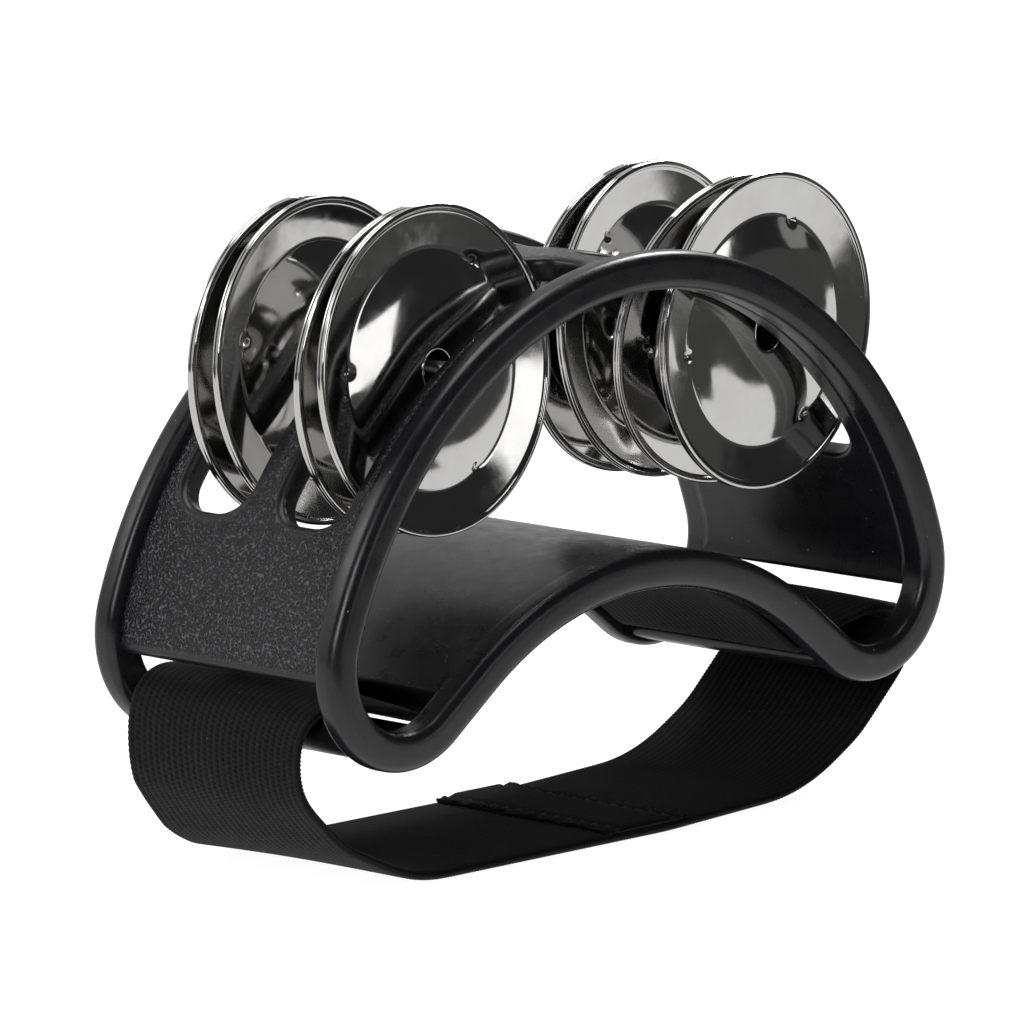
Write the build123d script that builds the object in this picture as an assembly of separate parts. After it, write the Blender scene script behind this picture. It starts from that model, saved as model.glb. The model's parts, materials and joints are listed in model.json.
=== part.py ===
"""Foot tambourine: a moulded frame that sits on the instep, four pairs of jingles, and an elastic strap.

Units are millimetres. +X is to the player's right, +Y points back along the foot and +Z is up.
The origin is on the floor, under the middle of the frame. The frame has one outline in the XZ plane,
drawn as tangent arcs, and every rim, wall, bar and bore is placed from it.
"""

from build123d import *

import os
from math import cos, radians, sin

# Frame outline, from the middle of the crown down one side, mirrored on the other.
CROWN_TOP_Z = 93.0
CROWN_RADIUS, CROWN_END_DEG = 70.0, 20.0
SIDE_RADIUS, SIDE_END_DEG = 75.5, 71.5
LOBE_RADIUS, LOBE_END_DEG = 17.0, 216.5
SADDLE_STRAIGHT = 10.5

# Frame sections. An inset is measured inwards from the outline.
FRAME_DEPTH = 52.0
RIM_DEPTH = 4.8
RIM_INSET = 6.0
RIM_ROUND = 1.9
WALL_OUTER_INSET, WALL_INNER_INSET = 2.0, 6.0
BAR_OUTER_INSET, BAR_INNER_INSET = 1.2, 5.0
WALL_END_DROP = 59.4
SADDLE_END_STEP = 3.6
BAR_START_DEG, BAR_END_DEG = 133.0, 208.0
BAR_ROUND = 0.9

# Jingle slots through the outer wall, measured about SLOT_CENTRE_DROP below the crown.
SLOT_CENTRE_DROP = 72.0
SLOT_START_DEG, SLOT_END_DEG = 2.9, 60.1
SLOT_NEAR_Y, SLOT_FAR_Y = 3.4, 17.2
SLOT_CORNER = 5.5

# Pins, and the jingles' pressed sheet.
PIN_RADIUS = 1.0
PIN_X, PIN_DROP = 37.4, 15.0
PIN_FRONT_RECESS, PIN_BACK_COVER = 0.3, 2.8
JINGLE_RADIUS = 25.2
HOLE_RADIUS = 3.15
SHEET = 0.4
HEM_THICK, HEM_WIDE = 1.4, 0.9
FLANGE_STEP = 0.4
CREASE_RADIUS, CREASE_DEPTH = 18.3, 1.4
BOSS_RADIUS, BOSS_DEPTH = 11.5, 0.1
NIB_RADIUS, NIB_HEIGHT = 1.0, 0.6
# How each loose jingle hangs on its pin: the middle of its outward face at (x, y, z), how far it leans about X
# and turns about Z in degrees, the compass angle of its first nib, and whether its outward face looks back.
JINGLES = {
    "jingle_left_front_outer": (-37.4, -15.5, 77.5, -4.0, 0.8, 33, False),
    "jingle_left_front_inner": (-37.3, -9.1, 77.2, 2.7, 0.7, 75, True),
    "jingle_left_rear_inner": (-37.2, 7.6, 76.7, -3.3, 2.8, 45, False),
    "jingle_left_rear_outer": (-37.4, 14.0, 76.5, 0.5, 2.3, 10, True),
    "jingle_right_front_outer": (37.7, -15.9, 76.3, 1.3, 1.3, 22, False),
    "jingle_right_front_inner": (37.5, -7.9, 76.2, 8.0, -5.2, 95, True),
    "jingle_right_rear_inner": (37.4, 6.7, 76.1, -3.2, 3.8, 84, False),
    "jingle_right_rear_outer": (37.4, 13.2, 76.1, 3.4, -0.8, 50, True),
}

# Strap: elastic webbing, one closed loop through both lobes.
STRAP_WIDTH, STRAP_THICK = 38.0, 1.6
OVERLAP_FROM_X, OVERLAP_TO_X = -1.5, 15.5
STRAP_UNDER_SADDLE = 1.0
# Corners of the strap's centreline beyond the saddle, as (x, drop below the crown, bend radius).
STRAP_RIGHT = [
    (42.5, 68.45, 2.4),
    (47.9, 66.0, 3.0),
    (61.6, 63.4, 8.0),
    (70.0, 64.2, 4.4),
    (69.6, 72.2, 8.4),
    (57.4, 83.4, 16.0),
    (44.0, 90.8, 36.0),
    (12.0, 92.2, 60.0),
]
STRAP_LEFT = [
    (-42.5, 68.45, 2.4),
    (-47.9, 66.0, 3.0),
    (-61.6, 63.4, 8.0),
    (-70.6, 64.3, 6.4),
    (-70.5, 76.0, 9.5),
    (-60.6, 85.2, 18.0),
    (-45.0, 92.2, 30.0),
]


def compass(angle_deg):
    """The unit vector at an angle measured clockwise from +Z, as (x, z)."""
    return Vector(sin(radians(angle_deg)), cos(radians(angle_deg)))


def outline_centres():
    """The centres of the crown, side and lobe arcs, and the saddle's centre and radius."""
    crown = Vector(0, CROWN_TOP_Z - CROWN_RADIUS)
    side = crown - compass(CROWN_END_DEG) * (SIDE_RADIUS - CROWN_RADIUS)
    lobe = side + compass(SIDE_END_DEG) * (SIDE_RADIUS - LOBE_RADIUS)
    tangent = lobe + compass(LOBE_END_DEG) * LOBE_RADIUS
    straight_end = tangent + compass(LOBE_END_DEG + 90) * SADDLE_STRAIGHT
    outward = compass(LOBE_END_DEG)
    saddle_radius = -straight_end.X / outward.X
    saddle = straight_end + outward * saddle_radius
    return crown, side, lobe, saddle, saddle_radius


CROWN, SIDE, LOBE, SADDLE, SADDLE_RADIUS = outline_centres()


def mirrored(point):
    return Vector(-point.X, point.Y)


def outline_points(inset):
    """The right half's corner and mid-arc points at an inset, from the crown down."""
    crown = [CROWN + compass(a) * (CROWN_RADIUS - inset) for a in (0, CROWN_END_DEG)]
    side_mid = (CROWN_END_DEG + SIDE_END_DEG) / 2
    side = [SIDE + compass(a) * (SIDE_RADIUS - inset) for a in (side_mid, SIDE_END_DEG)]
    lobe_mid = (SIDE_END_DEG + LOBE_END_DEG) / 2
    lobe = [LOBE + compass(a) * (LOBE_RADIUS - inset) for a in (lobe_mid, LOBE_END_DEG)]
    straight_end = lobe[1] + compass(LOBE_END_DEG + 90) * SADDLE_STRAIGHT
    saddle_top = SADDLE + Vector(0, SADDLE_RADIUS + inset)
    return crown + side + lobe + [straight_end, saddle_top]


def outline_face(inset):
    """The frame's outline at an inset, as a face in the XZ plane."""
    points = outline_points(inset)
    top, crown_end, side_mid, side_end, lobe_mid, lobe_end, straight_end, saddle_top = points
    right = [
        ThreePointArc(crown_end, side_mid, side_end),
        ThreePointArc(side_end, lobe_mid, lobe_end),
        Line(lobe_end, straight_end),
    ]
    left = [
        Line(mirrored(straight_end), mirrored(lobe_end)),
        ThreePointArc(mirrored(lobe_end), mirrored(lobe_mid), mirrored(side_end)),
        ThreePointArc(mirrored(side_end), mirrored(side_mid), mirrored(crown_end)),
    ]
    crown = ThreePointArc(mirrored(crown_end), top, crown_end)
    saddle = ThreePointArc(straight_end, saddle_top, mirrored(straight_end))
    return Plane.XZ * make_face([crown, *right, saddle, *left])


def along_y(face, y_from, y_to):
    """A face in the XZ plane, extruded from one Y to another."""
    return Pos(0, y_from, 0) * extrude(face, y_to - y_from, dir=(0, 1, 0))


def ring(outer_inset, inner_inset):
    return outline_face(outer_inset) - outline_face(inner_inset)


def polygon_xz(points):
    return Plane.XZ * make_face(Polyline(*points, close=True))


def pin_bores():
    """The two bores, blind at the rear rim, that hold the pins."""
    front, back = -FRAME_DEPTH / 2, FRAME_DEPTH / 2 - PIN_BACK_COVER
    bores = []
    for side in (-1, 1):
        place = Pos(side * PIN_X, (front + back) / 2, CROWN_TOP_Z - PIN_DROP)
        bores.append(place * Rot(90, 0, 0) * Cylinder(PIN_RADIUS, back - front))
    return bores


def rim(y_from, y_to):
    """One bead of the frame, following the whole outline, with rounded edges."""
    bead = along_y(ring(0, RIM_INSET), y_from, y_to)
    at_faces = bead.edges().filter_by_position(Axis.Y, y_from, y_from)
    at_faces += bead.edges().filter_by_position(Axis.Y, y_to, y_to)
    bead = fillet(at_faces, RIM_ROUND)
    for bore in pin_bores():
        bead -= bore
    return bead


def slot_cutter(side, y_side):
    """The space of one jingle slot: an arc of the wall, with rounded ends."""
    centre = Vector(0, CROWN_TOP_Z - SLOT_CENTRE_DROP)
    inner_radius, outer_radius = 55.0, 80.0
    start, mid, end = SLOT_START_DEG, (SLOT_START_DEG + SLOT_END_DEG) / 2, SLOT_END_DEG

    def at(angle_deg, radius):
        point = centre + compass(angle_deg) * radius
        return Vector(side * point.X, point.Y)

    sector = Plane.XZ * make_face(
        [
            ThreePointArc(*(at(a, outer_radius) for a in (start, mid, end))),
            Line(at(end, outer_radius), at(end, inner_radius)),
            ThreePointArc(*(at(a, inner_radius) for a in (end, mid, start))),
            Line(at(start, inner_radius), at(start, outer_radius)),
        ]
    )
    y_from, y_to = sorted((y_side * SLOT_NEAR_Y, y_side * SLOT_FAR_Y))
    block = along_y(sector, y_from, y_to)
    ends = [
        e
        for e in block.edges().filter_by(GeomType.LINE)
        if abs(e.length - (outer_radius - inner_radius)) < 0.01
    ]
    return fillet(ends, SLOT_CORNER)


def between_rims(face):
    inner = FRAME_DEPTH / 2 - RIM_DEPTH
    return along_y(face, -inner, inner)


def outer_wall():
    """The arched wall that joins the rims over the foot, with its four jingle slots."""
    end_z, beyond_x, beyond_z = CROWN_TOP_Z - WALL_END_DROP, 90, CROWN_TOP_Z + 10
    above_end = polygon_xz(
        [(-beyond_x, end_z), (beyond_x, end_z), (beyond_x, beyond_z), (-beyond_x, beyond_z)]
    )
    saddle_side = Plane.XZ * Pos(SADDLE.X, SADDLE.Y) * Circle(SADDLE_RADIUS + WALL_INNER_INSET + 2)
    wall = between_rims((ring(WALL_OUTER_INSET, WALL_INNER_INSET) & above_end) - saddle_side)
    for side in (-1, 1):
        for y_side in (-1, 1):
            wall -= slot_cutter(side, y_side)
    for bore in pin_bores():
        wall -= bore
    return wall


def saddle_wall():
    """The arched wall that lies over the instep, ended square to its straight flanks."""
    flank, outward = compass(LOBE_END_DEG + 90), compass(LOBE_END_DEG)
    foot = LOBE + outward * LOBE_RADIUS + flank * SADDLE_END_STEP
    low, high = foot + outward * 4, foot - outward * 10
    within = polygon_xz([low, high, (0, high.Y + 30), mirrored(high), mirrored(low), (0, low.Y + 8)])
    return between_rims(ring(WALL_OUTER_INSET, WALL_INNER_INSET) & within)


def strap_bar(side):
    """The curved bar at the bottom of a lobe, which the strap passes over."""
    middle_radius = LOBE_RADIUS - (BAR_OUTER_INSET + BAR_INNER_INSET) / 2
    thick = BAR_INNER_INSET - BAR_OUTER_INSET
    angles = (BAR_START_DEG, (BAR_START_DEG + BAR_END_DEG) / 2, BAR_END_DEG)

    def at(angle_deg, radius):
        point = LOBE + compass(angle_deg) * radius
        return Vector(side * point.X, point.Y)

    outer = [at(a, middle_radius + thick / 2) for a in angles]
    inner = [at(a, middle_radius - thick / 2) for a in reversed(angles)]
    sector = make_face(
        [ThreePointArc(*outer), Line(outer[2], inner[0]), ThreePointArc(*inner), Line(inner[2], outer[0])]
    )
    return between_rims(Plane.XZ * fillet(sector.vertices(), BAR_ROUND))


def pin():
    """A steel pin along Y, centred on the origin."""
    length = FRAME_DEPTH - PIN_FRONT_RECESS - PIN_BACK_COVER
    return Rot(90, 0, 0) * Cylinder(PIN_RADIUS, length)


def jingle(first_nib_deg):
    """One jingle about the Y axis, outward face at Y = 0 towards -Y.

    The rim is a rolled hem, the flange leans in to a crease, and the middle rises back to a flat boss.
    """
    hem_in = JINGLE_RADIUS - HEM_WIDE
    profile = [
        (HOLE_RADIUS, BOSS_DEPTH),
        (BOSS_RADIUS, BOSS_DEPTH),
        (CREASE_RADIUS, CREASE_DEPTH),
        (hem_in, FLANGE_STEP),
        (hem_in, 0),
        (JINGLE_RADIUS, 0),
        (JINGLE_RADIUS, HEM_THICK),
        (hem_in, HEM_THICK),
        (hem_in, FLANGE_STEP + SHEET),
        (CREASE_RADIUS, CREASE_DEPTH + SHEET),
        (BOSS_RADIUS, BOSS_DEPTH + SHEET),
        (HOLE_RADIUS, BOSS_DEPTH + SHEET),
    ]
    disc = revolve(make_face(Polyline(*profile, close=True)), Axis.Y)
    for k in range(3):
        nib = compass(first_nib_deg + 120 * k) * CREASE_RADIUS
        middle_y = CREASE_DEPTH + SHEET / 2 - NIB_HEIGHT / 2
        disc += Pos(nib.X, middle_y, nib.Y) * Rot(90, 0, 0) * Cylinder(NIB_RADIUS, NIB_HEIGHT)
    return disc


def strap_centreline():
    """The strap's centreline as a closed wire in the XZ plane."""
    flank, outward = compass(LOBE_END_DEG + 90), compass(LOBE_END_DEG)
    radius = SADDLE_RADIUS + STRAP_UNDER_SADDLE
    half_turn = radians((LOBE_END_DEG - 180) / 2)
    shoulder_x = radius * sin(half_turn) / cos(half_turn)
    shoulder_z = SADDLE.Y + radius
    corners = [(shoulder_x, shoulder_z, radius - 0.5)]
    corners += [(x, CROWN_TOP_Z - drop, r) for x, drop, r in STRAP_RIGHT]
    corners += [(x, CROWN_TOP_Z - drop, r) for x, drop, r in reversed(STRAP_LEFT)]
    corners += [(-shoulder_x, shoulder_z, radius - 0.5)]
    points = [(x, z) for x, z, _ in corners]
    return FilletPolyline(*points, radius=[r for _, _, r in corners], close=True)


def strap():
    """The webbing loop, and the end of the webbing that is sewn down inside its lower run."""
    line = strap_centreline()
    outside, inside, lap_inside = (
        make_face(offset(line, STRAP_THICK * layers, kind=Kind.INTERSECTION).edges())
        for layers in (0.5, -0.5, -1.5)
    )
    low_z, high_z = -5, CROWN_TOP_Z - WALL_END_DROP - 10
    lap_window = polygon_xz(
        [(OVERLAP_FROM_X, low_z), (OVERLAP_TO_X, low_z), (OVERLAP_TO_X, high_z), (OVERLAP_FROM_X, high_z)]
    )
    band = Plane.XZ * (outside - inside)
    lap = (Plane.XZ * (inside - lap_inside)) & lap_window
    print("strap length", round(line.length, 1))
    return along_y(band + lap, -STRAP_WIDTH / 2, STRAP_WIDTH / 2)


def write(node, shape):
    export_step(shape, f"parts/{node}.step")


os.makedirs("parts", exist_ok=True)
half_depth = FRAME_DEPTH / 2
write("front_rim", rim(-half_depth, -half_depth + RIM_DEPTH))
write("rear_rim", rim(half_depth - RIM_DEPTH, half_depth))
write("outer_wall", outer_wall())
write("saddle_wall", saddle_wall())
for name, side in (("left", -1), ("right", 1)):
    write(f"strap_bar_{name}", strap_bar(side))
    pin_y = (PIN_FRONT_RECESS - PIN_BACK_COVER) / 2
    write(f"pin_{name}", Pos(side * PIN_X, pin_y, CROWN_TOP_Z - PIN_DROP) * pin())
for name, (x, y, z, lean, turn, first_nib_deg, faces_back) in JINGLES.items():
    disc = Rot(0, 0, 180 if faces_back else 0) * jingle(first_nib_deg)
    write(name, Pos(x, y, z) * Rot(0, 0, turn) * Rot(lean, 0, 0) * disc)
write("strap", strap())
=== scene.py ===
"""Foot tambourine: the looks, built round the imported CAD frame.

Shapes are worked out in millimetres, and make_mesh turns them into metres. Lights and camera are in metres.
"""

import json
from math import asin, atan2, cos, degrees, exp, hypot, pi, radians, sin, sqrt

import bmesh
import bpy
import numpy as np
from mathutils import Matrix, Vector, geometry


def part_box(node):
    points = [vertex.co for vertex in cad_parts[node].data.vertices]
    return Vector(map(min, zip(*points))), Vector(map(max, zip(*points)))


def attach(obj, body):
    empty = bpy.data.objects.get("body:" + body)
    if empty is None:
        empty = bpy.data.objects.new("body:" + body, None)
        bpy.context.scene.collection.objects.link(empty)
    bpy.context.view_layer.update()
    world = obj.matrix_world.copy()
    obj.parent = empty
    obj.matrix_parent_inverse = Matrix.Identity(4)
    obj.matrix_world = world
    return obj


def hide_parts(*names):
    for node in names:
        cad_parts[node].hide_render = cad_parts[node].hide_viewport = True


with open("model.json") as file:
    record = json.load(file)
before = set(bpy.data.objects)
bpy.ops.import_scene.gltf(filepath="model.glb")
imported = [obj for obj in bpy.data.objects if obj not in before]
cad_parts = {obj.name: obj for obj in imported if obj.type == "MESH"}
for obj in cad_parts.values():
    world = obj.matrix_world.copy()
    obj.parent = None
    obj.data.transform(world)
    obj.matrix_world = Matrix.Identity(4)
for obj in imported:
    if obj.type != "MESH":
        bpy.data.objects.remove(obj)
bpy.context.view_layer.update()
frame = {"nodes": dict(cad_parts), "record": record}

MM = 0.001


def node_box(node):
    """A CAD node's lowest and highest corners, in millimetres."""
    low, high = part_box(node)
    return np.array(low) / MM, np.array(high) / MM


# ---------------------------------------------------------------- the frame's outline, as in the CAD model

RIM_LOW, RIM_HIGH = node_box("front_rim")
CROWN_TOP_Z = RIM_HIGH[2]
HALF_DEPTH = -RIM_LOW[1]
RIM_DEPTH = RIM_HIGH[1] - RIM_LOW[1]
CROWN_RADIUS, CROWN_END_DEG = 70.0, 20.0
SIDE_RADIUS, SIDE_END_DEG = 75.5, 71.5
LOBE_RADIUS, LOBE_END_DEG = 17.0, 216.5
SADDLE_STRAIGHT = 10.5
RIM_INSET = 6.0
WALL_OUTER_INSET, WALL_INNER_INSET = 2.0, 6.0
WALL_THICK = WALL_INNER_INSET - WALL_OUTER_INSET


def compass(angle_deg):
    """The unit vector at an angle measured clockwise from +Z, as (x, z)."""
    return np.array([sin(radians(angle_deg)), cos(radians(angle_deg))])


CROWN = np.array([0, CROWN_TOP_Z - CROWN_RADIUS])
SIDE = CROWN - compass(CROWN_END_DEG) * (SIDE_RADIUS - CROWN_RADIUS)
LOBE = SIDE + compass(SIDE_END_DEG) * (SIDE_RADIUS - LOBE_RADIUS)
LOBE_END = LOBE + compass(LOBE_END_DEG) * LOBE_RADIUS
SADDLE_START = LOBE_END + compass(LOBE_END_DEG + 90) * SADDLE_STRAIGHT
SADDLE_RADIUS = -SADDLE_START[0] / compass(LOBE_END_DEG)[0]
SADDLE = SADDLE_START + compass(LOBE_END_DEG) * SADDLE_RADIUS
# The right half's convex arcs: centre, radius, and the angles where it starts and ends.
ARCS = [
    (CROWN, CROWN_RADIUS, 0, CROWN_END_DEG),
    (SIDE, SIDE_RADIUS, CROWN_END_DEG, SIDE_END_DEG),
    (LOBE, LOBE_RADIUS, SIDE_END_DEG, LOBE_END_DEG),
]


def half_outline(step):
    """The right half, from the crown to the saddle, as (point, outward normal) about a step apart."""
    stations = []
    for centre, radius, start, end in ARCS:
        count = round(radius * radians(end - start) / step)
        for angle in np.linspace(start, end, count, endpoint=False):
            stations.append((centre + compass(angle) * radius, compass(angle)))
    for along in np.linspace(0, 1, round(SADDLE_STRAIGHT / step), endpoint=False):
        stations.append((LOBE_END + (SADDLE_START - LOBE_END) * along, compass(LOBE_END_DEG)))
    count = round(SADDLE_RADIUS * radians(LOBE_END_DEG - 180) / step)
    for angle in np.linspace(LOBE_END_DEG, 180, count + 1):
        stations.append((SADDLE - compass(angle) * SADDLE_RADIUS, compass(angle)))
    return stations


def mirror(pair):
    """The same (x, z) on the other side."""
    return np.array([-pair[0], pair[1]])


def whole_outline(step):
    """The closed outline's stations."""
    right = half_outline(step)
    left = [(mirror(p), mirror(n)) for p, n in reversed(right[1:-1])]
    return right + left


def wall_station(s):
    """The outline's point and normal at a distance s from the crown, measured on the wall's outer face."""
    rest = abs(s)
    for centre, radius, start, end in ARCS:
        length = (radius - WALL_OUTER_INSET) * radians(end - start)
        if rest <= length or centre is LOBE:
            angle = start + degrees(rest / (radius - WALL_OUTER_INSET))
            break
        rest -= length
    point, normal = centre + compass(angle) * radius, compass(angle)
    return (point, normal) if s >= 0 else (mirror(point), mirror(normal))


# ---------------------------------------------------------------- meshes

SAME_POINT = 1e-7


def make_mesh(name, verts, faces, sharp_deg=None):
    """A smooth mesh object from millimetre points, with its faces turned outwards."""
    mesh = bpy.data.meshes.new(name)
    mesh.from_pydata([tuple(float(c) * MM for c in v) for v in verts], [], faces)
    mesh.validate()
    obj = bpy.data.objects.new(name, mesh)
    bpy.context.scene.collection.objects.link(obj)
    turn_outwards(obj)
    mesh.shade_smooth()
    if sharp_deg:
        mesh.set_sharp_from_angle(angle=radians(sharp_deg))
    return obj


def turn_outwards(obj):
    """Joins points that coincide and turns the faces outwards."""
    bm = bmesh.new()
    bm.from_mesh(obj.data)
    bmesh.ops.remove_doubles(bm, verts=bm.verts, dist=SAME_POINT)
    bmesh.ops.recalc_face_normals(bm, faces=bm.faces)
    bm.to_mesh(obj.data)
    bm.free()


def mark_points(obj, name, values):
    """Gives each point of a mesh a number that its material reads."""
    layer = obj.data.attributes.new(name, "FLOAT", "POINT")
    layer.data.foreach_set("value", values)


def loft(rings, closed_along, closed_round=True, caps=False):
    """Vertices and faces of a grid through rings of points that all have the same count."""
    count = len(rings[0])
    verts = [p for ring in rings for p in ring]
    faces = []
    spans = len(rings) if closed_along else len(rings) - 1
    round_count = count if closed_round else count - 1
    for i in range(spans):
        a, b = i * count, ((i + 1) % len(rings)) * count
        for j in range(round_count):
            k = (j + 1) % count
            faces.append((a + j, a + k, b + k, b + j))
    if caps:
        faces.append(tuple(range(count)))
        last = (len(rings) - 1) * count
        faces.append(tuple(last + j for j in range(count)))
    return verts, faces


def rounded_rectangle(x0, x1, y0, y1, radii, arc_steps, pitch, counts=None):
    """Closed loop of points, anticlockwise from the lower left; radii are for the four corners in that order.

    Each side is cut at about a pitch, or into the number of pieces that counts gives for X and for Y.
    """
    corners = [(x0, y0, 180), (x1, y0, 270), (x1, y1, 0), (x0, y1, 90)]
    inward = [(1, 1), (-1, 1), (-1, -1), (1, -1)]
    loop = []
    for i, ((x, y, start), (ix, iy), r) in enumerate(zip(corners, inward, radii)):
        cx, cy = x + ix * r, y + iy * r
        for k in range(arc_steps + 1):
            a = radians(start + 90 * k / arc_steps)
            loop.append((cx + r * cos(a), cy + r * sin(a)))
        nx, ny, nr = *corners[(i + 1) % 4][:2], radii[(i + 1) % 4]
        jx, jy = inward[(i + 1) % 4]
        a = radians(start + 90)
        end = np.array([cx + r * cos(a), cy + r * sin(a)])
        target = np.array([nx + jx * nr, ny + jy * nr]) + nr * np.array([cos(a), sin(a)])
        pieces = counts[i % 2] if counts else max(1, round(np.linalg.norm(target - end) / pitch))
        for k in range(1, pieces):
            loop.append(tuple(end + (target - end) * k / pieces))
    return loop


# ---------------------------------------------------------------- the moulding

EMBED = 0.4
EMBED_Y = HALF_DEPTH - RIM_DEPTH + EMBED
PIN_LOW, PIN_HIGH = node_box("pin_right")
PIN_RADIUS = (PIN_HIGH[2] - PIN_LOW[2]) / 2


def place(station, inset, y):
    """A point at an inset from a station of the outline."""
    point, normal = station
    x, z = point - normal * inset
    return (x, y, z)


# The rim section's corners: outer front, inner front, inner back and outer back.
RIM_CORNERS = (1.9, 1.7, 0.5, 1.5)
RIM_ARC_STEPS, RIM_SECTION_PITCH, RIM_STEP = 7, 0.8, 0.7


def rim(name, side):
    """One rim: flat in front, round at its front edges and nearly square at its inner back edge."""
    section = rounded_rectangle(0, RIM_INSET, 0, RIM_DEPTH, RIM_CORNERS, RIM_ARC_STEPS, RIM_SECTION_PITCH)
    rings = [
        [place(station, inset, side * (HALF_DEPTH - depth)) for inset, depth in section]
        for station in whole_outline(RIM_STEP)
    ]
    obj = make_mesh(name, *loft(rings, closed_along=True))
    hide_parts(name)
    return obj


SLOT_CENTRE_DROP = 72.0
SLOT_START_DEG, SLOT_END_DEG = 2.9, 60.1
SLOT_NEAR_Y, SLOT_FAR_Y = 3.4, 17.2
SLOT_CORNER = 5.5
SLOT_ARC_STEPS, SLOT_PITCH = 9, 1.2
EDGE_OUT, EDGE_IN = 1.25, 0.9
EDGE_STEPS = 5
WALL_END_S = 97.3
WALL_END_SKEW, WALL_END_SKEW_REACH = 1.8, 8
WALL_CORNER, WALL_CORNER_STEPS = 0.2, 2
WALL_GRID, WALL_GRID_MARGIN = 1.25, 0.5
# How far the grain stays off the wall's ends and off the slots.
SMOOTH_BAND, SMOOTH_MARGIN = 2.3, 0.6


def distance_at_angle(angle_deg):
    """How far along the wall's outer face a ray about the slots' centre meets it."""
    low, high = 0.0, WALL_END_S
    for _ in range(40):
        middle = (low + high) / 2
        x, _, z = place(wall_station(middle), WALL_OUTER_INSET, 0)
        if degrees(atan2(x, z - (CROWN_TOP_Z - SLOT_CENTRE_DROP))) < angle_deg:
            low = middle
        else:
            high = middle
    return low


def wall_point(s, y, depth):
    """A point of the outer wall: s along it, y across it, depth below its outer face."""
    near_end = min(1.0, max(0.0, (abs(s) - WALL_END_S + WALL_END_SKEW_REACH) / WALL_END_SKEW_REACH))
    skew = WALL_END_SKEW * near_end**2 * depth / WALL_THICK
    s = s + (skew if s >= 0 else -skew)
    return place(wall_station(s), WALL_OUTER_INSET + depth, y)


def edge_profile():
    """(offset from the edge, depth) over a rounded outer edge, straight down, and over the inner edge."""
    turns = [pi / 2 * k / EDGE_STEPS for k in range(EDGE_STEPS + 1)]
    over = [(EDGE_OUT * (1 - sin(a)), EDGE_OUT * (1 - cos(a))) for a in turns]
    under = [(EDGE_IN * (1 - cos(a)), WALL_THICK - EDGE_IN * (1 - sin(a))) for a in turns]
    return over + under


def slot_loop(s0, s1, y0, y1, offset):
    """A slot's edge, as (s, y), at an offset outside it."""
    corners = (SLOT_CORNER + offset,) * 4
    box = s0 - offset, s1 + offset, y0 - offset, y1 + offset
    return rounded_rectangle(*box, corners, SLOT_ARC_STEPS, SLOT_PITCH)


def wall_border(offset):
    """The wall's own edge, as (s, y), with its two ends drawn in by an offset."""
    end = WALL_END_S - offset
    corners = (WALL_CORNER,) * 4
    counts = round(2 * WALL_END_S / WALL_GRID), round(2 * EMBED_Y / WALL_GRID)
    return rounded_rectangle(-end, end, -EMBED_Y, EMBED_Y, corners, WALL_CORNER_STEPS, WALL_GRID, counts)


def slot_clearance(slots, s, y):
    """Distance from a point of the wall to the nearest slot's edge, negative inside a slot."""
    best = 1e9
    for s0, s1, y0, y1 in slots:
        qs = abs(s - (s0 + s1) / 2) - (s1 - s0) / 2 + SLOT_CORNER
        qy = abs(y - (y0 + y1) / 2) - (y1 - y0) / 2 + SLOT_CORNER
        best = min(best, hypot(max(qs, 0), max(qy, 0)) + min(max(qs, qy), 0) - SLOT_CORNER)
    return best


def outer_wall():
    """The arched wall as one closed shell, with rounded edges at its slots and at its two ends."""
    start, end = distance_at_angle(SLOT_START_DEG), distance_at_angle(SLOT_END_DEG)
    slots = [
        (*sorted((a * start, a * end)), *sorted((b * SLOT_NEAR_Y, b * SLOT_FAR_Y)))
        for a in (-1, 1)
        for b in (-1, 1)
    ]
    profile = edge_profile()
    verts, faces, grain = [], [], []
    borders = {0: [], len(profile) - 1: []}
    for index in range(len(slots) + 1):
        rings = []
        for level, (offset, depth) in enumerate(profile):
            loop = wall_border(offset) if index == len(slots) else slot_loop(*slots[index], offset)
            ids = list(range(len(verts), len(verts) + len(loop)))
            verts += [wall_point(s, y, depth) for s, y in loop]
            grain += [0.0] * len(loop)
            rings.append(ids)
            if level in borders:
                borders[level].append((ids, loop))
        for upper, lower in zip(rings, rings[1:]):
            turned = zip(upper, upper[1:] + upper[:1], lower[1:] + lower[:1], lower)
            faces += list(turned)
    for level, (offset, depth) in ((0, profile[0]), (len(profile) - 1, profile[-1])):
        add_wall_face(level, offset, depth, slots, borders, verts, faces, grain)
    obj = make_mesh("outer_wall", verts, faces)
    mark_points(obj, "grain", grain)
    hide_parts("outer_wall")
    return obj


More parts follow.
